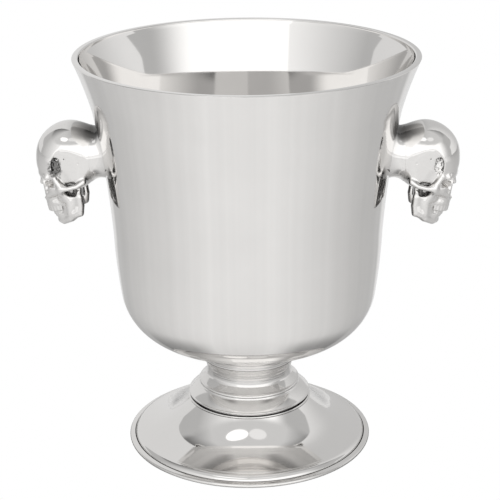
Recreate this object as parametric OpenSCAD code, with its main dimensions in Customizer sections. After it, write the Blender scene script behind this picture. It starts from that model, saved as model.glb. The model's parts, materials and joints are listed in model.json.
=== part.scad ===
// Footed wine cooler: a deep flared bowl on a turned stem and bell foot, carried by two cast skull handles.
// Millimetres. +Z up. The origin is the centre of the ring that the foot rests on.

/* [Bowl] */
// Outside diameter of the lip
rim_d = 220; // [200:1:240]
// Height from the table to the top of the lip
overall_h = 265; // [250:1:290]
// Thickness of the bowl's wall
wall_t = 3.5; // [2.5:0.1:4.5]

/* [Stem and foot] */
// Narrowest diameter of the neck
neck_d = 56.5; // [50:0.5:58]
// Outside diameter of the upper ring
upper_ring_d = 67.5; // [66:0.5:72]
// Outside diameter of the lower ring
lower_ring_d = 82; // [80:0.5:86]
// Outside diameter of the foot's edge band
foot_d = 165; // [155:1:185]
// Thread diameter of the rod that clamps the stack together
rod_d = 8; // [6:1:10]

/* [Handles] */
// Width of each skull across the temples
skull_w = 42; // [36:1:46]
// Height of the handle collar's centre above the table
handle_z = 200.5; // [190:0.5:210]
// How far each skull's face looks down, in degrees
skull_pitch = 14; // [0:1:30]
// Diameter of the collar between wall and skull
collar_d = 33; // [28:1:35]

/* [Hidden] */
$fn = 96;
rim_r = rim_d / 2;
foot_r = foot_d / 2;

// Levels of the stem and foot
floor_z = 69;
joint_z = 59;
waist_z = 48;
neck_foot_z = 39.6;
step_foot_z = 31.4;
bell_edge_z = 6.3;

// Clamping stack on the axis
rod_r = rod_d / 2;
rod_hole_r = rod_r + 0.3;
stud_hole_r = rod_r + 0.05;
washer_r = rod_d;
washer_t = 1.6;
nut_across = 1.625 * rod_d;
nut_h = 0.81 * rod_d;
rod_past_nut = 3;
hub_t = 5;
hub_under_z = step_foot_z - hub_t;
stud_depth = 11;
joint_r = neck_d / 2 + 4;
foot_t = 3;

// Handle joint
collar_r = collar_d / 2;
skull_x = 100;
screw_gap = 16;
screw_r = 2.5;
screw_hole_r = 2.7;
screw_len = 25;
head_r = 4.5;
head_h = 2.8;
drive_across = 3;
drive_depth = 1.8;
seal_r = 5.5;
seal_t = 1.2;
spot_depth = 0.8;

// One point of the arc from p to q that bulges by sag to the right of its direction of travel
function arc_point(p, q, sag, t) =
    let (
        half = norm(q - p) / 2,
        along = (q - p) / norm(q - p),
        out = [along.y, -along.x],
        r = (half * half + sag * sag) / (2 * abs(sag)),
        spread = asin(half / r),
        a = spread * (2 * t - 1)
    )
    (p + q) / 2 + r * sin(a) * along + sign(sag) * r * (cos(a) - cos(spread)) * out;

// An outline from [r, z, sag, steps] rows; sag and steps belong to the stretch that ends at the row
function outline(rows) = concat(
    [[rows[0].x, rows[0].y]],
    [for (i = [1 : len(rows) - 1])
        let (
            p = [rows[i - 1].x, rows[i - 1].y],
            q = [rows[i].x, rows[i].y],
            steps = rows[i][3]
        )
        for (j = [1 : steps])
            steps == 1 ? q : arc_point(p, q, rows[i][2], j / steps)]
);

// The same outline moved by t to the left of its direction of travel
function inset(path, t) = [
    for (i = [0 : len(path) - 1])
        let (
            d = path[min(i + 1, len(path) - 1)] - path[max(i - 1, 0)],
            u = d / norm(d)
        )
        path[i] + t * [-u.y, u.x]
];

function reversed(list) = [for (i = [len(list) - 1 : -1 : 0]) list[i]];

// Bowl wall, from the edge of the flat floor up to the lip, as shares of the rim and the bowl's height
bowl_h = overall_h - floor_z;
function bowl_row(r, up, sag, steps) = [r * rim_r / 110, floor_z + up * bowl_h / 196, sag, steps];
bowl_outside = outline([
    [joint_r - 0.3, joint_z, 0, 1],
    [joint_r, joint_z + 0.3, 0, 1],
    bowl_row(41, 0.4, -2.4, 8),
    bowl_row(58.5, 7, 0.8, 6),
    bowl_row(84.2, 37.5, 5.8, 18),
    bowl_row(88, 80, 0.6, 8),
    bowl_row(98.7, 162.5, -1.3, 10),
    bowl_row(110, 195.4, -0.6, 8)
]);
bowl_inside = [for (p = inset(bowl_outside, wall_t)) if (p.y > floor_z + wall_t && p.y < overall_h - 1) p];
function wall_r(z) = lookup(z, [for (p = bowl_outside) [p.y, p.x]]);

// Where each handle screw crosses the wall, and the flat that its seal bears on
screw_heights = [handle_z - screw_gap / 2, handle_z + screw_gap / 2];
function seat_x(z) = wall_r(z) - wall_t + spot_depth;

module along_x(x, z) {
    translate([x, 0, z])
        rotate([0, 90, 0])
            children();
}

module other_side() {
    mirror([1, 0, 0])
        children();
}

// The bowl: flared shell on a short filleted root, with a blind hole for the rod and four screw seats
module bowl() {
    lip_in = rim_r - wall_t - 0.6;
    color("gainsboro") difference() {
        rotate_extrude()
            polygon(concat(
                [[0, joint_z]],
                bowl_outside,
                [[rim_r - 0.3, overall_h - 0.3], [rim_r - 1.1, overall_h]],
                [[lip_in + 0.9, overall_h], [lip_in, overall_h - 0.9]],
                reversed(bowl_inside),
                [[0, floor_z + wall_t]]
            ));
        translate([0, 0, joint_z - 1])
            cylinder(r = stud_hole_r, h = stud_depth + 1);
        for (turn = [0, 180], z = screw_heights)
            rotate([0, 0, turn])
                along_x(0, z) {
                    cylinder(r = screw_hole_r, h = rim_r);
                    cylinder(r = seal_r + 0.3, h = seat_x(z));
                }
    }
}

// Turned neck: waisted under the bowl, flaring into a skirt that ends in a round bead
module stem_neck() {
    waist_r = neck_d / 2;
    bead_r = upper_ring_d / 2;
    color("silver") difference() {
        rotate_extrude()
            polygon(concat(
                [[0, neck_foot_z], [bead_r - 0.9, neck_foot_z]],
                outline([
                    [bead_r - 0.5, neck_foot_z + 0.2, 0, 1],
                    [bead_r - 0.6, neck_foot_z + 2.1, 0.6, 6],
                    [bead_r - 1.1, neck_foot_z + 2.4, 0, 1],
                    [waist_r + 1.2, waist_z - 2.8, -0.07, 4],
                    [waist_r, waist_z, -0.31, 5],
                    [joint_r, joint_z - 0.3, -1.09, 10],
                    [joint_r - 0.3, joint_z, 0, 1]
                ]),
                [[0, joint_z]]
            ));
        translate([0, 0, neck_foot_z - 1])
            cylinder(r = rod_hole_r, h = joint_z);
    }
}

// Middle skirt of the stem, from under the bead out to a sharp edge
module stem_step() {
    edge_r = lower_ring_d / 2;
    top_r = upper_ring_d / 2 - 0.6;
    color("lightgray") difference() {
        rotate_extrude()
            polygon(concat(
                [[0, step_foot_z], [edge_r - 0.9, step_foot_z]],
                outline([
                    [edge_r - 0.3, step_foot_z + 0.3, 0, 1],
                    [edge_r, step_foot_z + 0.7, 0.1, 3],
                    [edge_r - 0.5, step_foot_z + 1.2, 0.1, 3],
                    [top_r + 0.7, neck_foot_z - 1.2, 0.25, 8],
                    [top_r, neck_foot_z, -0.1, 3]
                ]),
                [[0, neck_foot_z]]
            ));
        translate([0, 0, step_foot_z - 1])
            cylinder(r = rod_hole_r, h = neck_foot_z);
    }
}

// Hollow bell foot: flared bell, flatter plate, rolled shoulder and the edge band that it rests on
module foot() {
    top_r = lower_ring_d / 2;
    bell = outline([
        [top_r + 0.2, step_foot_z - 1.3, 0, 1],
        [foot_r - 29, bell_edge_z + 9.7, 0.5, 14],
        [foot_r - 22, bell_edge_z + 5, 0.3, 6],
        [foot_r - 8.5, bell_edge_z, 0.34, 8]
    ]);
    hub_under = [for (p = inset(bell, -foot_t)) if (p.y < hub_under_z - 1.5) p];
    color("gainsboro") difference() {
        rotate_extrude()
            polygon(concat(
                [[0, step_foot_z], [top_r - 1.1, step_foot_z], [top_r - 0.9, step_foot_z - 0.7]],
                bell,
                outline([
                    [foot_r - 8.5, bell_edge_z, 0, 1],
                    [foot_r - 3.8, bell_edge_z - 2.8, -0.7, 6],
                    [foot_r - 3.5, bell_edge_z - 3.7, 0, 1],
                    [foot_r - 1.1, bell_edge_z - 3.9, 0, 1],
                    [foot_r - 0.3, 0, -1, 6]
                ]),
                [[foot_r - 7, 0], [foot_r - 8, 1.5]],
                reversed(hub_under),
                [[hub_under[0].x - 1.5, hub_under_z], [0, hub_under_z]]
            ));
        translate([0, 0, hub_under_z - 1])
            cylinder(r = rod_hole_r, h = hub_t + 2);
    }
}

// Rod, washer and nut that clamp the foot, step and neck to the bowl's boss
washer_low_z = hub_under_z - washer_t;
nut_low_z = washer_low_z - nut_h;

module tie_rod() {
    low_z = nut_low_z - rod_past_nut;
    chamfer = 0.8;
    color("darkgray") rotate_extrude()
        polygon([
            [0, low_z],
            [rod_r - chamfer, low_z],
            [rod_r, low_z + chamfer],
            [rod_r, joint_z + stud_depth - 0.5],
            [0, joint_z + stud_depth - 0.5]
        ]);
}

module foot_washer() {
    color("darkgray") translate([0, 0, washer_low_z])
        difference() {
            cylinder(r = washer_r, h = washer_t);
            translate([0, 0, -1])
                cylinder(r = rod_hole_r, h = washer_t + 2);
        }
}

module foot_nut() {
    color("dimgray") translate([0, 0, nut_low_z])
        difference() {
            intersection() {
                cylinder(r = nut_across / sqrt(3), h = nut_h, $fn = 6);
                cylinder(r1 = nut_across / 2 + 0.1, r2 = nut_across / 2 + nut_h, h = nut_h);
            }
            translate([0, 0, -1])
                cylinder(r = stud_hole_r, h = nut_h + 2);
        }
}

// Handle collar on the +X side: a short round neck, cut to the wall's curve
module handle_collar_right() {
    color("silver") difference() {
        along_x(wall_r(handle_z - collar_r) - 6, handle_z)
            rotate_extrude()
                polygon(concat(
                    [[0, 0], [collar_r + 1, 0]],
                    outline([
                        [collar_r + 1, 0.5, 0, 1],
                        [collar_r, skull_x - wall_r(handle_z - collar_r) + 6, -0.9, 8]
                    ]),
                    [[0, skull_x - wall_r(handle_z - collar_r) + 6]]
                ));
        rotate_extrude()
            polygon(concat([[0, joint_z]], bowl_outside, [[0, overall_h]]));
        for (z = screw_heights)
            along_x(0, z)
                cylinder(r = screw_hole_r, h = skull_x + 1);
    }
}

module handle_screws_right() {
    color("dimgray") for (z = screw_heights)
        along_x(seat_x(z) - seal_t, z) {
            cylinder(r = screw_r, h = screw_len);
            difference() {
                translate([0, 0, -head_h])
                    cylinder(r = head_r, h = head_h);
                translate([0, 0, -head_h - 1])
                    cylinder(r = drive_across / sqrt(3), h = drive_depth + 1, $fn = 6);
            }
        }
}

module screw_seals_right() {
    color("black") for (z = screw_heights)
        along_x(seat_x(z) - seal_t, z)
            difference() {
                cylinder(r = seal_r, h = seal_t);
                translate([0, 0, -1])
                    cylinder(r = screw_hole_r, h = seal_t + 2);
            }
}

// The skull is laid out in the sizes of a life-size one: +X forward from between the ears, +Z up
skull_k = skull_w / 133;
ear_x = skull_x + 3;
ear_z = handle_z - 15;

module lump(at, size, tilt = 0, n = 20) {
    translate(at)
        rotate([0, tilt, 0])
            scale(size)
                sphere(r = 1, $fn = n);
}

module ball(at, r, n = 12) {
    translate(at)
        sphere(r = r, $fn = n);
}

module bar(a, b, ra, rb, n = 12) {
    hull() {
        ball(a, ra, n);
        ball(b, rb, n);
    }
}

module both_sides() {
    children();
    mirror([0, 1, 0])
        children();
}

// Braincase as one long egg, with the base of the skull under it and the brow across its front
module braincase() {
    lump([15, 0, 47], [81, 65, 70], n = 48);
    hull() {
        ball([24, 0, 22], 36, 20);
        ball([56, 0, 0], 34, 20);
    }
    hull()
        both_sides() {
            ball([88, 12, 27], 13);
            ball([66, 43, 24], 13);
        }
    both_sides() {
        bar([66, 40, 20], [64, 38, -8], 14, 16, 16);
        bar([6, 47, 2], [-6, 44, 14], 8, 12);
    }
}

// Cheekbone, its arch back to the ear and the pillar beside the eye
module cheek() {
    bar([72, 50, 22], [70, 51, -4], 7, 7);
    bar([70, 51, -4], [77, 36, -20], 9, 10);
    bar([69, 52, -10], [46, 62, -8], 9, 6);
    bar([46, 62, -8], [22, 63, -2], 6, 5);
    bar([22, 63, -2], [0, 57, 0], 5, 7);
}

module upper_jaw() {
    hull() {
        lump([74, 0, -24], [22, 30, 22]);
        lump([76, 0, -42], [24, 27, 8]);
        lump([60, 0, -10], [22, 34, 24]);
    }
    hull() {
        ball([90, 0, 22], 10);
        ball([99, 0, 5], 6);
        ball([82, 0, 0], 12);
    }
    bar([88, 0, -26], [99, 0, -27], 9, 4);
}

// One row of teeth as blunt pegs around a horseshoe
module teeth(z, depth, length, width) {
    for (a = [-78 : 13 : 78])
        translate([length * cos(a), width * sin(a), z])
            cylinder(r1 = 3.4, r2 = 3.8, h = depth, center = true, $fn = 8);
}

module lower_jaw() {
    both_sides() {
        hull() {
            ball([82, 0, -82], 10);
            ball([79, 0, -68], 8);
            ball([78, 16, -82], 10);
            ball([73, 18, -67], 7);
        }
        hull() {
            ball([78, 16, -82], 10);
            ball([73, 18, -67], 7);
            ball([56, 36, -76], 8);
            ball([54, 36, -56], 6);
        }
        hull() {
            ball([56, 36, -76], 8);
            ball([54, 38, -52], 6);
            ball([31, 45, -61], 7);
            ball([27, 46, -36], 5);
            ball([48, 44, -32], 5);
        }
        hull() {
            ball([27, 46, -36], 5);
            ball([34, 46, -36], 5);
            ball([21, 48, -8], 5);
        }
        hull() {
            ball([40, 45, -38], 5);
            ball([48, 44, -34], 5);
            ball([52, 47, -14], 3.5);
        }
    }
}

module skull_hollows() {
    both_sides() {
        lump([98, 30, 5], [30, 18, 16], 10, 24);
        lump([30, 80, 30], [50, 17, 44], 0, 32);
        lump([44, 60, 14], [18, 14, 26], 0, 24);
        hull() {
            ball([20, 58, -16], 8);
            ball([50, 58, -16], 8);
            ball([24, 40, -24], 9);
            ball([50, 40, -24], 9);
        }
    }
    hull() {
        lump([102, 0, -5], [13, 5, 8]);
        both_sides()
            lump([100, 8, -16], [13, 6, 7]);
    }
}

module skull() {
    translate([ear_x, 0, ear_z])
        rotate([0, skull_pitch, 0])
            scale(skull_k) {
                difference() {
                    union() {
                        braincase();
                        upper_jaw();
                    }
                    skull_hollows();
                }
                both_sides()
                    cheek();
                lower_jaw();
                translate([71, 0, 0]) {
                    teeth(-50, 11, 29, 25);
                    teeth(-60, 9, 23, 22);
                }
            }
}

module skull_right() {
    color("silver") difference() {
        intersection() {
            skull();
            translate([skull_x, -rim_r, 0])
                cube([rim_r, rim_d, overall_h]);
        }
        for (z = screw_heights)
            along_x(skull_x - 1, z)
                cylinder(r = screw_r + 0.1, h = screw_len, $fn = 48);
    }
}

module skull_left() {
    other_side()
        skull_right();
}

module handle_collar_left() {
    other_side()
        handle_collar_right();
}

module handle_screws_left() {
    other_side()
        handle_screws_right();
}

module screw_seals_left() {
    other_side()
        screw_seals_right();
}

bowl();
stem_neck();
stem_step();
foot();
tie_rod();
foot_washer();
foot_nut();
skull_right();
skull_left();
handle_collar_right();
handle_collar_left();
handle_screws_right();
handle_screws_left();
screw_seals_right();
screw_seals_left();
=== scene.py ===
"""Footed silver wine cooler with cast skull handles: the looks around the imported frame, in metres."""

import json
import math

import bpy
import numpy as np
import openvdb as vdb
from mathutils import Euler, Matrix, Vector

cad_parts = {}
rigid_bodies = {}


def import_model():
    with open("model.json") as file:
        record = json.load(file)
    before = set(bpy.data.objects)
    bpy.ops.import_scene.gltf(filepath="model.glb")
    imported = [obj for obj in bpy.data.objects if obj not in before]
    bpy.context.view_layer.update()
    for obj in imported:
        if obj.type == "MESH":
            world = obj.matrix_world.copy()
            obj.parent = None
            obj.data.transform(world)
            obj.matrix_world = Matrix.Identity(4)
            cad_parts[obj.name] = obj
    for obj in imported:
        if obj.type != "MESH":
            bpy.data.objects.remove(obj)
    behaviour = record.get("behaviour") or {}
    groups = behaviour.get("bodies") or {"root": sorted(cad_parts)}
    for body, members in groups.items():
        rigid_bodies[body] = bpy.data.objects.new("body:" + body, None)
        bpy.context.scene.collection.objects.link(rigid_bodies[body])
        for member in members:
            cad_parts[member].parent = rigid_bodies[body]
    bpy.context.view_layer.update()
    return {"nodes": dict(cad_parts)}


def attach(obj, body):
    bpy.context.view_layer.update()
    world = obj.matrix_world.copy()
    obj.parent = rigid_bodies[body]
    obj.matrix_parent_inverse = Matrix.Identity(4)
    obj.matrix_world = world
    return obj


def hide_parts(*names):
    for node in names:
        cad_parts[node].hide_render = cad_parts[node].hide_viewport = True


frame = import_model()
MM = 0.001

# Camera: a long lens from a little above the rim
CAM_DISTANCE = 0.9389
CAM_HEIGHT = 0.4795
CAM_TURN = math.radians(1.4)
CAM_PITCH = math.radians(20.29)
CAM_ROLL = math.radians(-0.46)
CAM_LENS = 109.087
CAM_SHIFT = 0.0036

# Levels and radii of the turned body and its handles, millimetres
RIM_R = 110.0
LIP_Z = 265.0
WALL_T = 3.5
FLOOR_Z = 69.0
JOINT_Z = 59.0
JOINT_R = 32.25
WAIST_Z = 48.0
WAIST_R = 28.25
NECK_FOOT_Z = 39.6
STEP_FOOT_Z = 31.4
BELL_EDGE_Z = 6.3
BEAD_R = 33.75
SKIRT_R = 41.0
FOOT_R = 81.8
HANDLE_Z = 200.5

# Handle screws: spacing from the handle's axis, clearance hole and the flat under each seal
SCREW_OFFSET = 8.0
SCREW_HOLE_R = 2.7
SEAT_R = 5.8
SEAT_DEPTH = 0.8
SCREW_SEGMENTS = 48

# The collar runs from the wall to the skull's flat back and a little into its rounded edge
COLLAR_R = 16.5
SKULL_X = 100.0
COLLAR_LAP = 0.6


# ---------------------------------------------------------------- outlines and lathes
def arc(p, q, sag, steps):
    """Points after p up to q on the arc that bulges by sag to the right of the way from p to q."""
    (px, pz), (qx, qz) = p, q
    if sag == 0 or steps == 1:
        return [(px + (qx - px) * j / steps, pz + (qz - pz) * j / steps) for j in range(1, steps + 1)]
    half = math.hypot(qx - px, qz - pz) / 2
    ux, uz = (qx - px) / (2 * half), (qz - pz) / (2 * half)
    radius = (half * half + sag * sag) / (2 * abs(sag))
    spread = math.asin(half / radius)
    side = math.copysign(1, sag)
    points = []
    for j in range(1, steps + 1):
        a = spread * (2 * j / steps - 1)
        run = radius * math.sin(a)
        rise = side * radius * (math.cos(a) - math.cos(spread))
        points.append(((px + qx) / 2 + run * ux + rise * uz, (pz + qz) / 2 + run * uz - rise * ux))
    return points


def outline(start, *stretches):
    """start is (r, z); each stretch is (r, z, sag, steps), ending at r, z."""
    points = [start]
    for r, z, sag, steps in stretches:
        points += arc(points[-1], (r, z), sag, steps)
    return points


def inset(path, t):
    """The outline moved by t to the left of its direction of travel."""
    p = np.array(path)
    d = p[np.minimum(np.arange(len(p)) + 1, len(p) - 1)] - p[np.maximum(np.arange(len(p)) - 1, 0)]
    d /= np.linalg.norm(d, axis=1)[:, None]
    return [tuple(q) for q in p + t * np.stack([-d[:, 1], d[:, 0]], axis=1)]


def mesh_object(name, points, faces, smooth_angle=28.0):
    mesh = bpy.data.meshes.new(name)
    mesh.from_pydata([tuple(p) for p in points], [], faces)
    mesh.validate()
    mesh.update()
    mesh.shade_smooth()
    mesh.set_sharp_from_angle(angle=math.radians(smooth_angle))
    piece = bpy.data.objects.new(name, mesh)
    bpy.context.scene.collection.objects.link(piece)
    return piece


def lathe(name, profile, segments=288):
    """Turns a closed profile of (r, z) millimetre points about Z; points with r = 0 become single poles."""
    points, rings = [], []
    for r, z in profile:
        if r < 1e-6:
            rings.append([len(points)])
            points.append((0.0, 0.0, z * MM))
        else:
            rings.append([len(points) + i for i in range(segments)])
            for i in range(segments):
                a = 2 * math.pi * i / segments
                points.append((r * MM * math.cos(a), r * MM * math.sin(a), z * MM))
    faces = []
    for low, high in zip(rings, rings[1:]):
        for i in range(segments):
            j = (i + 1) % segments
            if len(low) == 1 and len(high) == 1:
                break
            if len(low) == 1:
                faces.append((low[0], high[j], high[i]))
            elif len(high) == 1:
                faces.append((low[i], low[j], high[0]))
            else:
                faces.append((low[i], low[j], high[j], high[i]))
    return mesh_object(name, points, faces)


# ---------------------------------------------------------------- turned pieces
ROD_HOLE_R = 4.3
STUD_HOLE_R = 4.05
STUD_TOP_Z = JOINT_Z + 11
STEM_SEGMENTS = 192

bowl_outside = outline(
    (JOINT_R - 0.3, JOINT_Z),
    (JOINT_R, JOINT_Z + 0.3, 0, 1),
    (41, FLOOR_Z + 0.4, -2.4, 84),
    (58.5, FLOOR_Z + 7, 0.8, 12),
    (84.2, FLOOR_Z + 37.5, 5.8, 36),
    (88, FLOOR_Z + 80, 0.6, 16),
    (98.7, FLOOR_Z + 162.5, -1.3, 24),
    (110, FLOOR_Z + 195.4, -0.6, 16),
)
bowl_inside = [p for p in inset(bowl_outside, WALL_T) if FLOOR_Z + WALL_T < p[1] < LIP_Z - 1]


def wall_r(z):
    """Outside radius of the bowl at height z."""
    return float(np.interp(z, [p[1] for p in bowl_outside], [p[0] for p in bowl_outside]))


def screw_cutter(z, side):
    """The clearance hole of one handle screw, widened to the flat its seal bears on."""
    seat = wall_r(z) - WALL_T + SEAT_DEPTH
    steps = [(0, SEAT_R), (seat, SEAT_R), (seat, SCREW_HOLE_R), (RIM_R, SCREW_HOLE_R)]
    n = SCREW_SEGMENTS
    angles = np.linspace(0, 2 * math.pi, n, False)
    points = []
    for x, r in steps:
        points += [(side * x * MM, r * math.cos(a) * MM, (z + r * math.sin(a)) * MM) for a in angles]
    faces = [tuple(range(n)), tuple(range(len(points) - 1, len(points) - 1 - n, -1))]
    for k in range(len(steps) - 1):
        for i in range(n):
            j = (i + 1) % n
            faces.append((n * k + i, n * (k + 1) + i, n * (k + 1) + j, n * k + j))
    cutter = mesh_object(f"cutter_{z}_{side}", points, faces)
    bpy.context.view_layer.objects.active = cutter
    bpy.ops.object.mode_set(mode="EDIT")
    bpy.ops.mesh.select_all(action="SELECT")
    bpy.ops.mesh.normals_make_consistent(inside=False)
    bpy.ops.object.mode_set(mode="OBJECT")
    return cutter


def make_bowl():
    lip_in = RIM_R - WALL_T - 0.6
    profile = [(0, STUD_TOP_Z), (STUD_HOLE_R, STUD_TOP_Z), (STUD_HOLE_R, JOINT_Z)]
    profile += ringed(bowl_outside, JOINT_Z + 0.7, FLOOR_Z - 0.7, 0.08)
    profile += arc(profile[-1], (RIM_R - 1.1, LIP_Z), 0.25, 4)
    profile += [(lip_in + 0.9, LIP_Z)]
    profile += arc(profile[-1], (lip_in, LIP_Z - 0.9), 0.25, 4)
    profile += bowl_inside[::-1]
    profile += [(0, FLOOR_Z + WALL_T)]
    bowl = lathe("bowl_turned", profile)
    for side in (1, -1):
        for z in (HANDLE_Z - SCREW_OFFSET, HANDLE_Z + SCREW_OFFSET):
            cutter = screw_cutter(z, side)
            cut = bowl.modifiers.new("screw_seat", "BOOLEAN")
            cut.operation = "DIFFERENCE"
            cut.solver = "EXACT"
            cut.object = cutter
    shape = bpy.data.meshes.new_from_object(bowl.evaluated_get(bpy.context.evaluated_depsgraph_get()))
    bowl.modifiers.clear()
    bowl.data = shape
    for cutter in [o for o in bpy.data.objects if o.name.startswith("cutter_")]:
        bpy.data.objects.remove(cutter)
    return bowl


GROOVE_PITCH = 1.4


def ringed(path, low, high, depth):
    """Cuts fine lathe grooves into the outside of a profile, between two heights."""
    def grooved(r, z):
        if r < WAIST_R - 1 or not low < z < high:
            return r, z
        return r - depth * math.cos(math.pi * (z - low) / GROOVE_PITCH) ** 12, z

    return [grooved(r, z) for r, z in path]


def make_neck():
    profile = outline(
        (ROD_HOLE_R, NECK_FOOT_Z),
        (BEAD_R - 0.9, NECK_FOOT_Z, 0, 1),
        (BEAD_R - 0.5, NECK_FOOT_Z + 0.2, 0, 1),
        (BEAD_R - 0.6, NECK_FOOT_Z + 2.1, 0.6, 14),
        (BEAD_R - 1.1, NECK_FOOT_Z + 2.4, 0, 1),
        (WAIST_R + 1.2, WAIST_Z - 2.8, -0.07, 8),
        (WAIST_R, WAIST_Z, -0.31, 10),
        (JOINT_R, JOINT_Z - 0.3, -1.09, 96),
        (JOINT_R - 0.3, JOINT_Z, 0, 1),
        (ROD_HOLE_R, JOINT_Z, 0, 1),
        (ROD_HOLE_R, NECK_FOOT_Z, 0, 1),
    )
    return lathe("stem_neck_turned", ringed(profile, WAIST_Z + 0.8, JOINT_Z - 0.4, 0.07), STEM_SEGMENTS)


def make_step():
    top = BEAD_R - 0.6
    profile = outline(
        (ROD_HOLE_R, STEP_FOOT_Z),
        (SKIRT_R - 0.9, STEP_FOOT_Z, 0, 1),
        (SKIRT_R - 0.3, STEP_FOOT_Z + 0.3, 0, 1),
        (SKIRT_R, STEP_FOOT_Z + 0.7, 0.1, 5),
        (SKIRT_R - 0.5, STEP_FOOT_Z + 1.2, 0.1, 5),
        (top + 0.7, NECK_FOOT_Z - 1.2, 0.25, 16),
        (top, NECK_FOOT_Z, -0.1, 5),
        (ROD_HOLE_R, NECK_FOOT_Z, 0, 1),
        (ROD_HOLE_R, STEP_FOOT_Z, 0, 1),
    )
    return lathe("stem_step_turned", profile, STEM_SEGMENTS)


def make_foot():
    hub_z = STEP_FOOT_Z - 5
    bell = outline(
        (SKIRT_R - 0.6, STEP_FOOT_Z - 1.8),
        (SKIRT_R + 0.4, STEP_FOOT_Z - 2.6, 0.25, 6),
        (FOOT_R - 29, BELL_EDGE_Z + 9.7, 0.5, 30),
        (FOOT_R - 22, BELL_EDGE_Z + 5, 0.3, 14),
        (FOOT_R - 8.5, BELL_EDGE_Z, 0.34, 20),
    )
    under = [p for p in inset(bell, -3) if p[1] < hub_z - 1.5]
    profile = [(ROD_HOLE_R, STEP_FOOT_Z), (SKIRT_R - 2.2, STEP_FOOT_Z), (SKIRT_R - 2.2, STEP_FOOT_Z - 1.5)]
    profile += bell
    profile += arc(profile[-1], (FOOT_R - 3.8, BELL_EDGE_Z - 2.8), -0.7, 12)
    profile += [(FOOT_R - 3.6, BELL_EDGE_Z - 4.6), (FOOT_R - 3.1, BELL_EDGE_Z - 3.7)]
    profile += [(FOOT_R - 1.1, BELL_EDGE_Z - 3.9)]
    profile += arc(profile[-1], (FOOT_R - 0.3, 0), -1, 12)
    profile += [(FOOT_R - 7, 0), (FOOT_R - 8, 1.5)]
    profile += under[::-1]
    profile += [(under[0][0] - 1.5, hub_z), (ROD_HOLE_R, hub_z), (ROD_HOLE_R, STEP_FOOT_Z)]
    return lathe("foot_turned", profile)


# ---------------------------------------------------------------- skull as a distance field
FAR = 40.0


class Field:
    """A distance field over half a skull (y >= 0), in life-size millimetres, built up shape by shape."""

    def __init__(self, low, high, step):
        self.low = np.array(low, float)
        self.step = step
        counts = [int(round((b - a) / step)) + 1 for a, b in zip(low, high)]
        self.axes = [low[i] + step * np.arange(counts[i]) for i in range(3)]
        self.value = np.full(counts, FAR, np.float32)

    def window(self, low, high, margin):
        """The part of the field within margin of the box from low to high, and its points."""
        spans = []
        for axis, a, b in zip(self.axes, low, high):
            first = int(np.searchsorted(axis, a - margin))
            last = int(np.searchsorted(axis, b + margin))
            spans.append(slice(first, max(last, first + 1)))
        points = np.meshgrid(*[axis[s] for axis, s in zip(self.axes, spans)], indexing="ij", sparse=True)
        return tuple(spans), [p.astype(np.float32) for p in points]

    def add(self, shape, soft):
        """Joins a shape, with a fillet of about soft."""
        low, high, distance = shape
        spans, points = self.window(low, high, 10 + soft)
        here = self.value[spans]
        new = distance(*points)
        h = np.clip(0.5 + 0.5 * (here - new) / soft, 0, 1)
        self.value[spans] = here * (1 - h) + new * h - soft * h * (1 - h)

    def cut(self, shape, soft):
        """Takes a shape away, with an edge rounded by about soft."""
        low, high, distance = shape
        spans, points = self.window(low, high, 6 + soft)
        here = self.value[spans]
        new = -distance(*points)
        h = np.clip(0.5 - 0.5 * (here - new) / soft, 0, 1)
        self.value[spans] = here * (1 - h) + new * h + soft * h * (1 - h)


def egg(centre, radii, pitch=0.0, yaw=0.0):
    """An ellipsoid, pitched nose-down about Y and yawed about Z, in degrees."""
    cp, sp = math.cos(math.radians(pitch)), math.sin(math.radians(pitch))
    cy, sy = math.cos(math.radians(yaw)), math.sin(math.radians(yaw))
    reach = max(radii)
    if pitch == 0 and yaw == 0:
        spread = radii
    else:
        spread = (reach, reach, reach)

    def distance(x, y, z):
        px, py, pz = x - centre[0], y - centre[1], z - centre[2]
        px, py = px * cy + py * sy, py * cy - px * sy
        px, pz = px * cp - pz * sp, px * sp + pz * cp
        k0 = np.sqrt((px / radii[0]) ** 2 + (py / radii[1]) ** 2 + (pz / radii[2]) ** 2)
        k1 = np.sqrt((px / radii[0] ** 2) ** 2 + (py / radii[1] ** 2) ** 2 + (pz / radii[2] ** 2) ** 2)
        return k0 * (k0 - 1) / np.maximum(k1, 1e-6)

    low = [c - s for c, s in zip(centre, spread)]
    high = [c + s for c, s in zip(centre, spread)]
    return low, high, distance


def bone(a, b, ra, rb):
    """A round bar from a to b whose radius runs from ra to rb."""
    a, b = np.array(a, float), np.array(b, float)
    d = b - a
    length2 = float(d @ d)
    reach = max(ra, rb)

    def distance(x, y, z):
        px, py, pz = x - a[0], y - a[1], z - a[2]
        t = np.clip((px * d[0] + py * d[1] + pz * d[2]) / length2, 0, 1)
        gap = np.sqrt((px - t * d[0]) ** 2 + (py - t * d[1]) ** 2 + (pz - t * d[2]) ** 2)
        return gap - (ra + (rb - ra) * t)

    return np.minimum(a, b) - reach, np.maximum(a, b) + reach, distance


def hollow(centre, rx, rz, tilt_x, tilt_z):
    """Everything outside a tilted plane, within an oval seen from the side."""
    cx, cy, cz = centre

    def distance(x, y, z):
        oval = (np.sqrt(((x - cx) / rx) ** 2 + ((z - cz) / rz) ** 2) - 1) * min(rx, rz)
        plane = cy + tilt_x * (x - cx) + tilt_z * (z - cz) - y
        return np.maximum(oval, plane)

    low = np.array([cx - rx - 2, cy - 12, cz - rz - 2])
    high = np.array([cx + rx + 2, 74, cz + rz + 2])
    return low, high, distance


def chain(*balls):
    """A run of round bars through (x, y, z, radius) balls, with no swelling where two bars meet."""
    parts = [bone(p[:3], q[:3], p[3], q[3]) for p, q in zip(balls, balls[1:])]
    low = np.min([p[0] for p in parts], axis=0)
    high = np.max([p[1] for p in parts], axis=0)

    def distance(x, y, z):
        return np.minimum.reduce([part[2](x, y, z) for part in parts])

    return low, high, distance


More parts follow.
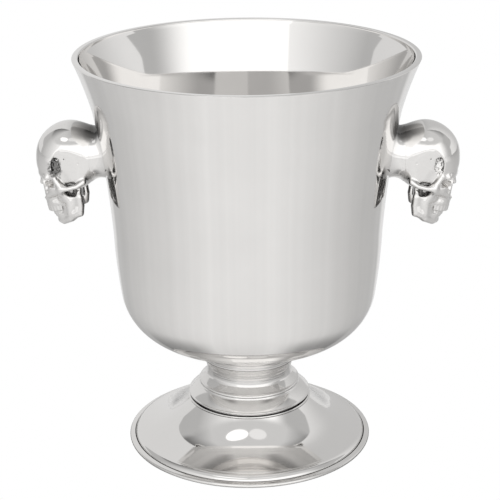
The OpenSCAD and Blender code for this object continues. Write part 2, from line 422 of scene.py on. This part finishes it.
def slab(centre, half, round_r, pitch=0.0, yaw=0.0):
    """A box with rounded edges."""
    cp, sp = math.cos(math.radians(pitch)), math.sin(math.radians(pitch))
    cy, sy = math.cos(math.radians(yaw)), math.sin(math.radians(yaw))
    reach = math.sqrt(sum(h * h for h in half))

    def distance(x, y, z):
        px, py, pz = x - centre[0], y - centre[1], z - centre[2]
        px, py = px * cy + py * sy, py * cy - px * sy
        px, pz = px * cp - pz * sp, px * sp + pz * cp
        qx = np.abs(px) - (half[0] - round_r)
        qy = np.abs(py) - (half[1] - round_r)
        qz = np.abs(pz) - (half[2] - round_r)
        outside = np.sqrt(np.maximum(qx, 0) ** 2 + np.maximum(qy, 0) ** 2 + np.maximum(qz, 0) ** 2)
        inside = np.minimum(np.maximum(np.maximum(qx, qy), qz), 0)
        return outside + inside - round_r

    return [c - reach for c in centre], [c + reach for c in centre], distance


# Where the round root behind the skull starts, and its radius, the same as the collar's
ROOT = (-20.8, 0, 44.1)
ROOT_R = 52.2


def braincase(f, pitch):
    """Dome, temples, brow and the root towards the bowl."""
    f.add(egg((28, 0, 47), (68, 65, 70)), 1)
    f.add(egg((16, 0, 67), (48, 44, 48)), 14)
    f.add(egg((62, 0, 40), (34, 46, 34)), 8)
    along = np.array([math.cos(pitch), 0, math.sin(pitch)])
    root = np.array(ROOT)
    f.add(bone(root - 60 * along, root + 14 * along, ROOT_R, ROOT_R), 14)
    f.add(egg((36, 0, 6), (44, 34, 28)), 12)
    f.add(egg((16, 40, 6), (13, 11, 14)), 12)
    f.cut(hollow((25, 53.5, 30), 36, 46, -0.07, 0.12), 5)
    f.cut(egg((46, 66, 12), (20, 17, 30), pitch=14), 4)
    f.add(chain((90, 0, 27, 8.5), (86, 22, 29, 8), (77, 44, 24, 6.5)), 8)
    f.add(egg((92, 0, 26), (7.5, 12, 8)), 6)


def face(f):
    """Upper jaw, rims of the eyes, cheeks, eye sockets, nose and the arch back to the ear."""
    f.add(egg((74, 0, -24), (25, 29, 24)), 10)
    f.add(egg((66, 28, 4), (20, 20, 24)), 10)
    f.add(chain((64, 48, 23, 6), (58, 51, 8, 6), (53, 52, -2, 7)), 5)
    f.add(chain((89, 0, 22, 7.5), (98.5, 0, 6, 5)), 6)
    f.add(chain((90, 8, 20, 5.5), (90, 16, -2, 5.5), (90, 19, -20, 6.5)), 5)
    f.add(chain((56, 49, -6, 7.5), (86, 26, -16, 7)), 6)
    f.add(chain((56, 47, -9, 7.5), (55, 38, -32, 5)), 7)
    f.cut(egg((90, 32, 11), (35, 17.5, 13.5), pitch=6, yaw=22), 2.4)
    f.cut(egg((73, 46, 10), (9, 9, 9), pitch=20), 3)
    f.cut(egg((102, 6.5, -17), (17, 6.0, 7.5)), 3)
    f.cut(egg((105, 0, -8), (16, 6.5, 10)), 3)
    f.add(bone((86, 0, 0), (90, 0, -24), 1.0, 1.4), 1.0)
    f.add(chain((88, 0, -28, 6), (101, 0, -28, 3)), 5)
    f.add(chain((54, 53, -4, 6), (40, 57, -6, 4.5), (22, 56, -6, 5), (8, 49, -2, 7)), 6)


def tooth_row(f, z, centre_x, length, width, size, crown):
    """Teeth along half an oval, the front ones narrower than the molars."""
    for angle in (6, 18.5, 31, 44, 57, 70, 84):
        a = math.radians(angle)
        spot = (centre_x + length * math.cos(a), width * math.sin(a), z)
        grow = 1 + 0.12 * (angle > 50)
        f.add(slab(spot, (size[0], size[1] * grow, crown), 2.4, yaw=angle * 0.85), 1.2)


def arch(z, centre_x, length, width, r):
    """A horseshoe of gum, as far as the last molar."""
    balls = []
    for a in (0, 20, 40, 60, 76, 90):
        c, s = math.cos(math.radians(a)), math.sin(math.radians(a))
        balls.append((centre_x + length * c, width * s, z, r))
    return chain(*balls)


def jaws(f):
    """Gums, the closed mouth behind them and both rows of teeth."""
    f.add(arch(-38, 67, 28.5, 25, 7), 8)
    f.add(arch(-66, 64, 22, 22.5, 6.5), 6)
    f.add(egg((62, 0, -54), (25, 22, 20)), 4)
    f.add(egg((50, 27, -52), (17, 12, 24)), 6)
    f.add(egg((56, 30, -27), (14, 12, 12)), 6)
    tooth_row(f, -48, 69, 30.5, 26, (3.4, 3.9), 7.5)
    tooth_row(f, -59.5, 67, 24.5, 23.5, (3.0, 3.5), 6.0)


def mandible(f):
    """Lower jaw: chin, body, the branch up to the ear and the notch in it."""
    f.add(chain((78, 0, -80, 10), (74, 17, -79, 9.5), (55, 34, -73, 9), (34, 43, -62, 8.5),
                (28, 43, -50, 8), (26, 44, -34, 6), (21, 46, -8, 5.5)), 1)
    f.add(egg((83, 0, -80), (6.5, 11, 7)), 8)
    f.add(chain((72, 17, -66, 7), (52, 34, -56, 7), (48, 41, -36, 6), (53, 45, -14, 3.5)), 8)
    f.add(slab((39, 42.5, -48), (16, 4.6, 22), 4.2, pitch=-13, yaw=-10), 7)
    f.add(egg((44, 0, -24), (22, 34, 32)), 6)
    f.cut(bone((37, 44, -16), (37, 66, -16), 11, 11), 2.5)


def back_face(f, pitch, reach):
    """The flat back that meets the collar, upright on the bucket whatever the skull's pitch."""
    nx, nz = math.cos(pitch), math.sin(pitch)

    def distance(x, y, z):
        return x * nx + z * nz - reach

    f.cut((np.array([-44, 0, -98]), np.array([20, 74, 122]), distance), 1)


PIT_SEED = 5
PITS = 110


def pitted(f):
    """The rough patch behind the brow, where the polisher doesn't reach, and stray pinholes."""
    rng = np.random.default_rng(PIT_SEED)
    f.cut(egg((50, 60, 48), (9, 8, 16), pitch=-12), 4)
    for _ in range(PITS):
        x, z = rng.normal(51, 5), rng.normal(48, 8)
        r = rng.uniform(1.2, 2.6)
        y = np.interp(x, [30, 44, 60, 70], [57, 53, 52, 47]) + rng.uniform(-2.0, 0.5)
        f.cut(egg((x, y, z), (r, r, r)), 1.2)
    for x, y, z, r in ((2, 50, 62, 2.2), (6, 57, 40, 1.8), (30, 54, 56, 1.6)):
        f.cut(egg((x, y, z), (r, r, r)), 2)


def build_field(step, pitch, reach):
    f = Field((-46, -step * 2, -98), (112, 74, 122), step)
    mandible(f)
    braincase(f, pitch)
    face(f)
    jaws(f)
    pitted(f)
    back_face(f, pitch, reach)
    return f


def sample(f, p):
    """The field at life-size points on either side, by trilinear interpolation."""
    q = p.copy()
    q[:, 1] = np.abs(q[:, 1])
    g = (q - f.low) / f.step
    top = np.array(f.value.shape) - 2
    i = np.clip(np.floor(g).astype(int), 0, top)
    t = g - i
    v = [[[f.value[i[:, 0] + a, i[:, 1] + b, i[:, 2] + c] for c in (0, 1)] for b in (0, 1)] for a in (0, 1)]
    x, y, z = t.T

    def mix(a, b, w):
        return a + (b - a) * w

    return mix(mix(mix(v[0][0][0], v[1][0][0], x), mix(v[0][1][0], v[1][1][0], x), y),
               mix(mix(v[0][0][1], v[1][0][1], x), mix(v[0][1][1], v[1][1][1], x), y), z)


def settle(f, p, rounds=2):
    """Moves points onto the field's surface."""
    h = f.step
    for _ in range(rounds):
        grad = np.stack([(sample(f, p + h * e) - sample(f, p - h * e)) / (2 * h) for e in np.eye(3)], 1)
        size2 = np.maximum((grad ** 2).sum(1), 0.05)
        p = p - (sample(f, p) / size2)[:, None] * grad
    return p


# The field's cell, and the skull's place on the bucket: its scale, nose-down pitch and origin (x, z)
SKULL_STEP = 1.5
SKULL_SCALE = 0.3158 * MM
SKULL_PITCH = math.radians(14)
EAR = (0.103, 0.1855)
skull_field = build_field(SKULL_STEP, SKULL_PITCH, (SKULL_X * MM - EAR[0]) / SKULL_SCALE)


def to_bucket(p):
    """Life-size skull points in the bucket's frame, on the +X side."""
    c, s = math.cos(SKULL_PITCH), math.sin(SKULL_PITCH)
    x, y, z = p.T
    return np.stack([EAR[0] + SKULL_SCALE * (x * c + z * s), SKULL_SCALE * y,
                     EAR[1] + SKULL_SCALE * (z * c - x * s)], 1)


def to_skull(q):
    """The opposite of to_bucket."""
    c, s = math.cos(SKULL_PITCH), math.sin(SKULL_PITCH)
    x, y, z = (q[:, 0] - EAR[0]) / SKULL_SCALE, q[:, 1] / SKULL_SCALE, (q[:, 2] - EAR[1]) / SKULL_SCALE
    return np.stack([x * c - z * s, y, x * s + z * c], 1)


BACK_SLICE = 0.9
BACK_R = (8.0, 26.0)
HALVINGS = 14


def back_edge(angles):
    """Radius in millimetres of the skull just above its flat back, around the handle's axis."""
    low, high = (np.full(len(angles), r) for r in BACK_R)
    x = np.full(len(angles), SKULL_X + BACK_SLICE)
    for _ in range(HALVINGS):
        r = (low + high) / 2
        places = np.stack([x, r * np.cos(angles), HANDLE_Z + r * np.sin(angles)], 1)
        inside = sample(skull_field, to_skull(places * MM)) < 0
        low, high = np.where(inside, r, low), np.where(inside, high, r)
    return low


def make_skull(name, side):
    """The whole casting from its half field; side is 1 on +X and -1 for the mirror image."""
    f = skull_field
    full = np.concatenate([f.value[:, :2:-1], f.value[:, 2:]], axis=1)
    grid = vdb.FloatGrid(background=FAR)
    grid.copyFromArray(np.ascontiguousarray(full))
    p, tris, quads = grid.convertToPolygons(isovalue=0.0, adaptivity=0.0)
    middle = np.array([0, f.value.shape[1] - 3, 0])
    p = settle(f, (p - middle) * f.step + np.array([f.low[0], 0, f.low[2]]))
    world = to_bucket(p) * np.array([side, 1, 1])
    faces = [tuple(face) for face in [*quads, *tris]]
    if side > 0:
        faces = [face[::-1] for face in faces]
    return mesh_object(name, world, faces, 50)


COLLAR_RINGS = 16


def make_collar(name, side, segments=128):
    """Short neck from the bowl's wall that flares into the outline of the skull's flat back."""
    angles = 2 * np.pi * np.arange(segments) / segments
    flare = back_edge(angles) - COLLAR_R

    def on_wall(y, z):
        return math.sqrt(wall_r(z) ** 2 - y * y)

    points, rings = [], []

    def ring(radii, place):
        rings.append([len(points) + i for i in range(segments)])
        for radius, a in zip(radii, angles):
            y, z = radius * math.cos(a), HANDLE_Z + radius * math.sin(a)
            points.append((side * place(y, z) * MM, y * MM, z * MM))

    for share in (0.12, 0.35, 0.6, 0.85):
        ring(np.full(segments, share * COLLAR_R), on_wall)
    end_x = SKULL_X + COLLAR_LAP
    for j in range(COLLAR_RINGS + 1):
        t = j / COLLAR_RINGS
        radii = COLLAR_R + (1 - t) ** 3 + flare * t ** 2.5
        ring(radii, lambda y, z: on_wall(y, z) * (1 - t) + end_x * t)
    for share in (0.7, 0.35, 0.12):
        ring((COLLAR_R + flare) * share, lambda y, z: end_x)
    faces = [tuple(rings[0]), tuple(rings[-1][::-1])]
    for low, high in zip(rings, rings[1:]):
        for i in range(segments):
            j = (i + 1) % segments
            faces.append((low[i], high[i], high[j], low[j]))
    if side > 0:
        faces = [f[::-1] for f in faces]
    return mesh_object(name, points, faces, 40)


# ---------------------------------------------------------------- shader helpers
def add(tree, kind, inputs=None, **settings):
    """Adds a shader node; an input may be a number, a colour or another node's output."""
    made = tree.nodes.new("ShaderNode" + kind)
    for key, value in settings.items():
        setattr(made, key, value)
    for key, value in (inputs or {}).items():
        if isinstance(value, bpy.types.NodeSocket):
            tree.links.new(value, made.inputs[key])
        else:
            made.inputs[key].default_value = value
    return made


def put(tree, kind, inputs=None, **settings):
    return add(tree, kind, inputs, **settings).outputs[0]


def calc(tree, operation, *values):
    return put(tree, "Math", dict(enumerate(values)), operation=operation)


def spread(tree, value, low, high, to_low=0.0, to_high=1.0, way="SMOOTHSTEP"):
    """Maps low..high to to_low..to_high, and holds the ends."""
    return put(tree, "MapRange", {"Value": value, "From Min": low, "From Max": high,
                                  "To Min": to_low, "To Max": to_high}, interpolation_type=way)


def blend(tree, share, a, b):
    return put(tree, "Mix", {"Factor": share, "A": a, "B": b}, data_type="FLOAT")


def new_material(name):
    material = bpy.data.materials.new(name)
    material.use_nodes = True
    material.node_tree.nodes.clear()
    return material, material.node_tree


def place_of(tree):
    return add(tree, "TexCoord").outputs["Object"]


def noise(tree, vector, scale, detail=4.0, rough=0.6, **more):
    inputs = {"Vector": vector, "Scale": scale, "Detail": detail, "Roughness": rough, **more}
    return put(tree, "TexNoise", inputs, noise_dimensions="4D" if "W" in more else "3D")


def root_of_squares(tree, x, y):
    return calc(tree, "SQRT", calc(tree, "ADD", calc(tree, "MULTIPLY", x, x), calc(tree, "MULTIPLY", y, y)))


def scaled(tree, value, share):
    return calc(tree, "MULTIPLY", value, share)


ALONG_RINGS = 6.0


def lathe_marks(tree, place, fine):
    """Noise that is drawn out around Z, as the marks that turning and buffing leave."""
    x, y, z = add(tree, "SeparateXYZ", {0: place}).outputs
    r = root_of_squares(tree, x, y)
    ring = put(tree, "CombineXYZ", {"X": scaled(tree, x, ALONG_RINGS), "Y": scaled(tree, y, ALONG_RINGS),
                                    "Z": scaled(tree, z, fine)})
    return noise(tree, ring, 1.0, 4.0, 0.7, W=scaled(tree, r, fine))


def close_metal(tree, colour, shade, rough, bump):
    """Finishes a metal: colour darkened by shade, roughness and bump."""
    tone = put(tree, "VectorMath", {0: colour, 1: shade}, operation="MULTIPLY")
    inputs = {"Base Color": tone, "Metallic": 1.0, "Roughness": rough, "Normal": bump}
    shader = put(tree, "BsdfPrincipled", inputs)
    tree.links.new(shader, tree.nodes.new("ShaderNodeOutputMaterial").inputs["Surface"])


SILVER = (0.80, 0.787, 0.772)
STEEL = (0.56, 0.56, 0.58)
# Middle of the dark stain in the pits of the skull on -X
PIT_STAIN = (-0.1228, -0.0152, 0.1935)


def turned_metal(name, rough, depth, painted_deep_shade=0.0):
    """Turned and polished: rings, soft undulation, faint haze, and painted shade in grooves.

    The last argument sets how much painted shade darkens the metal where it sits deep between other parts."""
    material, tree = new_material(name)
    place = place_of(tree)
    marks = lathe_marks(tree, place, 900.0)
    haze = noise(tree, place, 22.0, 5.0, 0.55)
    near = add(tree, "AmbientOcclusion", {"Distance": 0.0025}, samples=8).outputs["AO"]
    sway = noise(tree, place, 11.0, 1.0, 0.4)
    bump = put(tree, "Bump", {"Strength": 1.0, "Distance": depth, "Height": marks})
    bump = put(tree, "Bump", {"Strength": 1.0, "Distance": 6e-5, "Height": sway, "Normal": bump})
    rough_value = calc(tree, "ADD", spread(tree, haze, 0.3, 0.7, rough * 0.7, rough * 1.3),
                       spread(tree, marks, 0.3, 0.7, -0.01, 0.01))
    # Painted shade in grooves and tight gaps, from ambient occlusion over 2.5 mm; the haze varies the tone
    # a little at random.
    shade = calc(tree, "MULTIPLY", spread(tree, haze, 0.3, 0.7, 0.97, 1.0),
                 spread(tree, near, 0.2, 0.75, 0.25, 1.0))
    # Painted shade deep between other parts, from ambient occlusion over 30 mm.
    if painted_deep_shade:
        wide = add(tree, "AmbientOcclusion", {"Distance": 0.03}, samples=8).outputs["AO"]
        shade = calc(tree, "MULTIPLY", shade, spread(tree, wide, 0.3, 0.85, 1.0 - painted_deep_shade, 1.0))
    close_metal(tree, SILVER, shade, rough_value, bump)
    return material


def cast_metal(name, rough):
    """Polished casting: soft ripples; recesses darker, partly oxide and partly painted shade; painted shade
    on the sides that face the bowl, a painted dark reflection on top of the neck, and a stain in the pits
    of the skull on -X.
    """
    material, tree = new_material(name)
    place = place_of(tree)
    ripple = noise(tree, place, 160.0, 2.0, 0.5)
    grain = noise(tree, place, 1400.0, 5.0, 0.7)
    near = add(tree, "AmbientOcclusion", {"Distance": 0.007}, samples=8).outputs["AO"]
    # Recesses: partly oxide and partly painted shade, also rougher and with less grain.
    recess = spread(tree, near, 0.3, 0.85, 1.0, 0.0)
    x = add(tree, "SeparateXYZ", {0: place}).outputs["X"]
    normal = add(tree, "SeparateXYZ", {0: add(tree, "NewGeometry").outputs["Normal"]}).outputs
    # Painted shade on the sides that face the bowl.
    facing = calc(tree, "MULTIPLY", calc(tree, "SIGN", x), normal["X"])
    painted_shade_towards_wall = spread(tree, facing, -0.85, -0.3, 0.85, 0.0)
    # Painted dark reflection on top of the neck and the skull's root, close to the bowl.
    painted_dark_reflection = calc(tree, "MULTIPLY", spread(tree, normal["Z"], 0.5, 0.75),
                 spread(tree, calc(tree, "ABSOLUTE", x), 0.100, 0.117, 0.8, 0.0))
    away = put(tree, "VectorMath", {0: place, 1: PIT_STAIN}, operation="SUBTRACT")
    away = put(tree, "VectorMath", {0: away, 1: (1.0, 1.0, 0.55)}, operation="MULTIPLY")
    away = add(tree, "VectorMath", {0: away}, operation="LENGTH").outputs["Value"]
    ragged = spread(tree, noise(tree, place, 600.0, 3.0, 0.6), 0.3, 0.7, -0.0012, 0.0012)
    away = calc(tree, "ADD", away, ragged)
    stain = spread(tree, away, 0.0028, 0.0048, 0.78, 0.0)
    bump = put(tree, "Bump", {"Strength": 1.0, "Distance": 6e-5, "Height": ripple})
    bump = put(tree, "Bump", {"Strength": blend(tree, recess, 0.1, 1.0), "Distance": 2.5e-5,
                              "Height": grain, "Normal": bump})
    shade = calc(tree, "SUBTRACT", blend(tree, recess, 1.0, 0.45), spread(tree, grain, 0.5, 0.8, 0.0, 0.08))
    # Darkened by the painted dark reflection on the neck, the stain and the painted shade on the sides
    # facing the bowl.
    for dark in (painted_dark_reflection, stain, painted_shade_towards_wall):
        shade = calc(tree, "MULTIPLY", shade, calc(tree, "SUBTRACT", 1.0, dark))
    close_metal(tree, SILVER, shade, blend(tree, recess, rough, 0.38), bump)
    return material


def machined_steel(name, rough, worn):
    """Screws, nuts and rods: fine drawn lines, dull spots and brighter edges."""
    material, tree = new_material(name)
    place = place_of(tree)
    marks = lathe_marks(tree, place, 2500.0)
    spots = noise(tree, place, 420.0, 5.0, 0.65)
    edge = spread(tree, add(tree, "NewGeometry").outputs["Pointiness"], 0.5, 0.56)
    bump = put(tree, "Bump", {"Strength": 1.0, "Distance": 4e-6, "Height": marks})
    shade = calc(tree, "ADD", spread(tree, spots, 0.35, 0.7, 1.0, worn), calc(tree, "MULTIPLY", edge, 0.2))
    close_metal(tree, STEEL, shade, spread(tree, spots, 0.35, 0.7, rough, rough * 1.6), bump)
    return material


def moulded_rubber(name):
    """Black rubber with a fine matt grain and pale dust in it."""
    material, tree = new_material(name)
    place = place_of(tree)
    grain = noise(tree, place, 3000.0, 3.0, 0.6)
    dust = noise(tree, place, 500.0, 4.0, 0.6)
    bump = put(tree, "Bump", {"Strength": 0.6, "Distance": 2e-5, "Height": grain})
    ramp = add(tree, "ValToRGB", {"Fac": dust})
    ramp.color_ramp.elements[0].position = 0.45
    ramp.color_ramp.elements[0].color = (0.018, 0.018, 0.02, 1)
    ramp.color_ramp.elements[1].position = 0.75
    ramp.color_ramp.elements[1].color = (0.05, 0.05, 0.052, 1)
    shader = put(tree, "BsdfPrincipled", {"Base Color": ramp.outputs["Color"], "Normal": bump,
                                          "Roughness": spread(tree, grain, 0.3, 0.7, 0.6, 0.8)})
    tree.links.new(shader, tree.nodes.new("ShaderNodeOutputMaterial").inputs["Surface"])
    return material


# ---------------------------------------------------------------- pieces
polish = turned_metal("polished_metal", 0.06, 1.5e-6)
# The stem's metal also takes painted shade deep between the bowl and the foot.
stem_polish = turned_metal("polished_metal_stem", 0.09, 2.5e-6, 0.55)
cast_polish = cast_metal("polished_metal_cast", 0.08)
steel = machined_steel("zinc_plated_steel", 0.28, 0.7)
rubber = moulded_rubber("black_rubber")

turned = ((make_bowl(), "bowl", polish), (make_neck(), "stem_neck", stem_polish),
          (make_step(), "stem_step", stem_polish), (make_foot(), "foot", polish))
cast = []
for side, word in ((1, "right"), (-1, "left")):
    cast.append((make_collar(f"collar_{word}", side), f"handle_collar_{word}", cast_polish))
    cast.append((make_skull(f"skull_{word}_cast", side), f"skull_{word}", cast_polish))
for piece, node, finish in [*turned, *cast]:
    piece.data.materials.clear()
    piece.data.materials.append(finish)
    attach(piece, "root")
    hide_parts(node)

for node, carried in frame["nodes"].items():
    if carried.hide_render:
        continue
    for slot in carried.material_slots:
        slot.material = rubber if node.startswith("screw_seals") else steel

# ---------------------------------------------------------------- floor
# Seen by the camera it is plain white. In the metal it is grey, with painted light and shade: darker at the
# sides, a painted shadow close beside the foot, paler behind and far in front, and a faint painted glow.
# Bearings run from the front, and + is towards +X.
deg = math.radians
FLOOR_HALF = 4.0
BELOW_FOOT = -1e-4
corners = [(x * FLOOR_HALF, y * FLOOR_HALF, BELOW_FOOT) for x, y in ((-1, -1), (1, -1), (1, 1), (-1, 1))]
floor = mesh_object("floor", corners, [(0, 1, 2, 3)])
material, tree = new_material("white_floor")
x, y, _ = add(tree, "SeparateXYZ", {0: place_of(tree)}).outputs
bearing = calc(tree, "ARCTAN2", x, scaled(tree, y, -1.0))
off_front = calc(tree, "ABSOLUTE", bearing)
distance = root_of_squares(tree, x, y)
# Painted light and shade on the floor: lighter in front and behind, darker at the sides, with faint streaks
# by bearing.
painted_floor_shading = calc(tree, "MINIMUM", spread(tree, bearing, deg(-120), deg(-20), 0.5, 0.78, "LINEAR"),
             spread(tree, bearing, deg(25), deg(100), 0.76, 0.49, "LINEAR"))
streak = noise(tree, put(tree, "CombineXYZ", {"X": bearing}), 5.0, 3.0, 0.6)
painted_floor_shading = calc(tree, "MULTIPLY", painted_floor_shading, spread(tree, streak, 0.3, 0.7, 0.96, 1.03, "LINEAR"))
painted_floor_shading = calc(tree, "MAXIMUM", painted_floor_shading, spread(tree, off_front, deg(122), deg(145), 0.0, 0.7))
# A painted shadow close beside the foot, at the sides.
beside = calc(tree, "MULTIPLY", spread(tree, off_front, deg(22), deg(52)),
              spread(tree, off_front, deg(100), deg(114), 1.0, 0.0))
shadow = calc(tree, "MULTIPLY", beside, spread(tree, distance, 0.09, 0.16, 0.45, 0.0))
painted_floor_shading = calc(tree, "MULTIPLY", painted_floor_shading, calc(tree, "SUBTRACT", 1.0, shadow))
# Painted light: paler far out in front.
far = calc(tree, "MULTIPLY", spread(tree, off_front, deg(60), deg(90), 1.0, 0.0),
           spread(tree, distance, 0.7, 1.0))
painted_floor_shading = calc(tree, "ADD", painted_floor_shading, scaled(tree, far, 0.3))
seen = put(tree, "Emission", {"Strength": 1.0})
# In reflections: diffuse with a faint painted glow, both in the painted light and shade.
lit = put(tree, "AddShader", {0: put(tree, "BsdfDiffuse", {"Color": painted_floor_shading}),
                              1: put(tree, "Emission", {"Color": painted_floor_shading, "Strength": 0.15})})
both = put(tree, "MixShader", {0: add(tree, "LightPath").outputs["Is Camera Ray"], 1: lit, 2: seen})
tree.links.new(both, tree.nodes.new("ShaderNodeOutputMaterial").inputs["Surface"])
floor.data.materials.append(material)

# ---------------------------------------------------------------- studio around the object
world = bpy.data.worlds.new("studio")
bpy.context.scene.world = world
world.use_nodes = True
tree = world.node_tree
tree.nodes.clear()
dx, dy, dz = add(tree, "SeparateXYZ", {0: add(tree, "TexCoord").outputs["Generated"]}).outputs
azimuth = calc(tree, "ARCTAN2", dx, scaled(tree, dy, -1.0))
elevation = calc(tree, "ARCSINE", dz)


def ramp_up(value, low, high, to_low=0.0, to_high=1.0, way="SMOOTHSTEP"):
    return spread(tree, value, deg(low), deg(high), to_low, to_high, way)


def lens(az_mid, el_mid, az_half, el_half):
    """1 inside an oval of directions, with a soft edge."""
    across = calc(tree, "DIVIDE", calc(tree, "SUBTRACT", azimuth, deg(az_mid)), deg(az_half))
    up = calc(tree, "DIVIDE", calc(tree, "SUBTRACT", elevation, deg(el_mid)), deg(el_half))
    out = calc(tree, "ADD", calc(tree, "MULTIPLY", across, across), calc(tree, "MULTIPLY", up, up))
    return spread(tree, out, 0.85, 1.15, 1.0, 0.0)


# Front softbox with darker walls at its sides, white sweep behind the object, grey ceiling with two
# oval windows. Directions are in degrees: azimuth from the front, + towards +X, and elevation.
left_wall = ramp_up(azimuth, -98, -32, 0.55, 1.12, "LINEAR")
softbox = calc(tree, "ADD", left_wall, ramp_up(azimuth, -32.5, -31.5, 0.0, 0.23))
walls = calc(tree, "MINIMUM", softbox, ramp_up(azimuth, 42, 80, 1.35, 0.55))
turned_by = calc(tree, "ABSOLUTE", azimuth)
left_of = calc(tree, "LESS_THAN", azimuth, 0.0)
sweep_edge = blend(tree, left_of, ramp_up(elevation, 14, 24, deg(88), deg(111)),
                   ramp_up(elevation, 12, 18, deg(106), deg(125)))
sweep = ramp_up(calc(tree, "SUBTRACT", turned_by, sweep_edge), 0, 1.5)
ceiling = ramp_up(turned_by, 75, 122, 0.72, 0.2, "LINEAR")
front = blend(tree, ramp_up(elevation, 38, 46), walls, ceiling)
for az_mid, az_half, bright in ((-26, 25, 1.45), (19, 20, 1.0)):
    front = calc(tree, "MAXIMUM", front, scaled(tree, lens(az_mid, 58, az_half, 5.6), bright))
sweep_level = blend(tree, left_of, ramp_up(azimuth, 95, 150, 0.92, 0.64), 0.82)
level = blend(tree, sweep, front, sweep_level)
level = blend(tree, add(tree, "LightPath").outputs["Is Camera Ray"], level, 1.0)
shown = put(tree, "Background", {"Color": (1, 1, 1, 1), "Strength": level})
tree.links.new(shown, tree.nodes.new("ShaderNodeOutputWorld").inputs["Surface"])

# A weak lamp for the floor only: it is hidden from reflections
lamp = bpy.data.lights.new("overhead", "AREA")
lamp.shape = "RECTANGLE"
lamp.size, lamp.size_y = 1.2, 1.2
lamp.energy = 10
lamp_object = bpy.data.objects.new("overhead", lamp)
lamp_object.location = (0.1, -0.3, 1.6)
lamp_object.visible_glossy = False
lamp_aim = Vector((0, 0, 0.1)) - lamp_object.location
lamp_object.rotation_euler = lamp_aim.to_track_quat("-Z", "Y").to_euler()
bpy.context.scene.collection.objects.link(lamp_object)

camera = bpy.data.cameras.new("camera")
camera.sensor_width = 36.0
camera.lens = CAM_LENS
camera.shift_x = CAM_SHIFT
camera_object = bpy.data.objects.new("camera", camera)
place = Matrix.Rotation(CAM_TURN, 4, "Z") @ Matrix.Translation((0, -CAM_DISTANCE, CAM_HEIGHT))
turn = Euler((math.pi / 2 - CAM_PITCH, 0, 0)).to_matrix().to_4x4() @ Matrix.Rotation(CAM_ROLL, 4, "Z")
camera_object.matrix_world = place @ turn
bpy.context.scene.collection.objects.link(camera_object)
bpy.context.scene.camera = camera_object
bpy.context.scene.view_settings.view_transform = "Standard"
